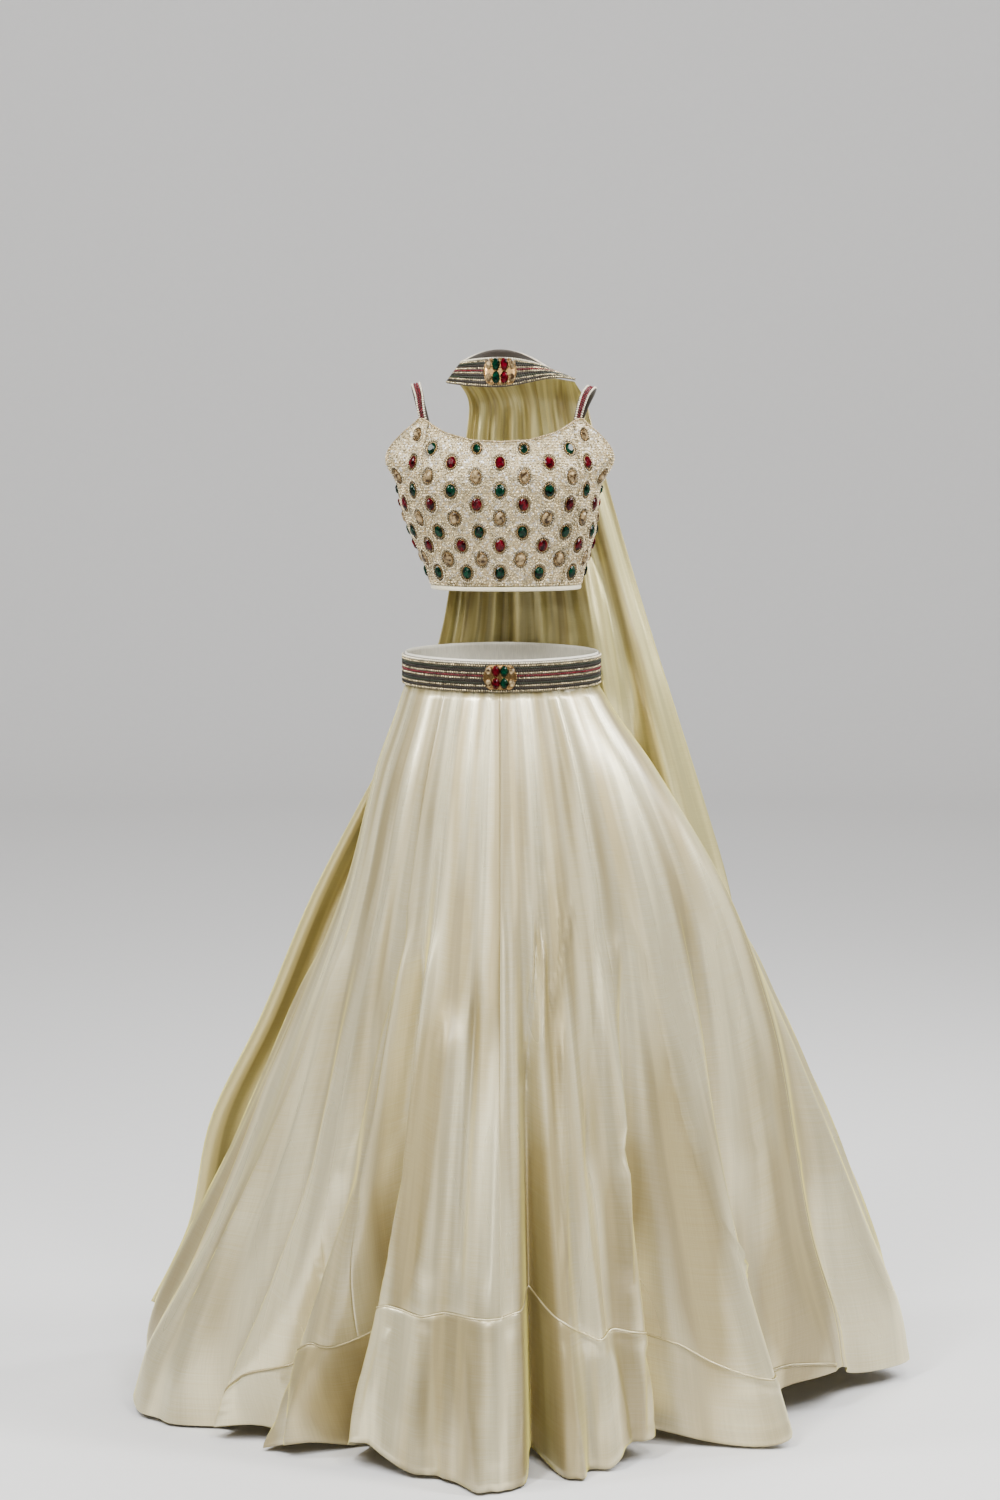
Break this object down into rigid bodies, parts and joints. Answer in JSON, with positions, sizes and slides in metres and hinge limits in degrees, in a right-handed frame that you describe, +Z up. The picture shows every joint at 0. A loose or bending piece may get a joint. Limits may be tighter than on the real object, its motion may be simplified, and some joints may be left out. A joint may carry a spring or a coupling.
{
  "type": "lehenga",
  "caption": "Worn lehenga set: long gored skirt with a front flounce and beaded belt, stone-set choli with straps, and a dupatta hung from a beaded choker.",
  "frame": {"origin": "centre of the waist, at the height of the waist seam, where the wearer holds the skirt up", "axes": "+Z up along the wearer, +X to the wearer's left, front towards -Y"},
  "size_m": [1.1544, 0.9587, 1.5324],
  "materials": {
    "skirt_silk": "shot tissue silk with a soft vertical sheen",
    "dupatta_silk": "fine pale yellow tissue silk, soft sheen",
    "waistband_cloth": "plain matt cloth",
    "beadwork": "rows of small glossy beads on cloth",
    "choli_cloth": "cloth covered with ivory, silver and champagne beads",
    "binding_cloth": "cream piping",
    "clasp_metal": "polished gold-coloured metal",
    "red_stone": "glossy faceted stone",
    "green_stone": "glossy faceted stone",
    "clear_stone": "glossy faceted stone"
  },
  "bodies": {
    "root": {"gore_1": "skirt_silk", "gore_2": "skirt_silk", "gore_3": "skirt_silk", "gore_4": "skirt_silk", "gore_5": "skirt_silk", "gore_6": "skirt_silk", "gore_7": "skirt_silk", "gore_8": "skirt_silk", "flounce_left": "skirt_silk", "flounce_right": "skirt_silk", "waistband": "waistband_cloth", "belt": "beadwork", "belt_clasp_plate": "clasp_metal", "choli_front": "choli_cloth", "choli_side_left": "choli_cloth", "choli_back": "choli_cloth", "choli_side_right": "choli_cloth", "choli_binding": "binding_cloth", "strap_left": "beadwork", "strap_right": "beadwork", "choker": "beadwork", "choker_clasp_plate": "clasp_metal", "dupatta": "dupatta_silk", "belt_clasp_stone_upper_outer_right": "clear_stone", "belt_clasp_stone_upper_inner_right": "red_stone", "belt_clasp_stone_upper_inner_left": "green_stone", "belt_clasp_stone_upper_outer_left": "clear_stone", "belt_clasp_stone_lower_outer_right": "clear_stone", "belt_clasp_stone_lower_inner_right": "red_stone", "belt_clasp_stone_lower_inner_left": "green_stone", "belt_clasp_stone_lower_outer_left": "clear_stone", "choker_clasp_stone_upper_outer_right": "clear_stone", "choker_clasp_stone_upper_inner_right": "green_stone", "choker_clasp_stone_upper_inner_left": "red_stone", "choker_clasp_stone_upper_outer_left": "clear_stone", "choker_clasp_stone_lower_outer_right": "clear_stone", "choker_clasp_stone_lower_inner_right": "green_stone", "choker_clasp_stone_lower_inner_left": "red_stone", "choker_clasp_stone_lower_outer_left": "clear_stone"}
  },
  "joints": []
}
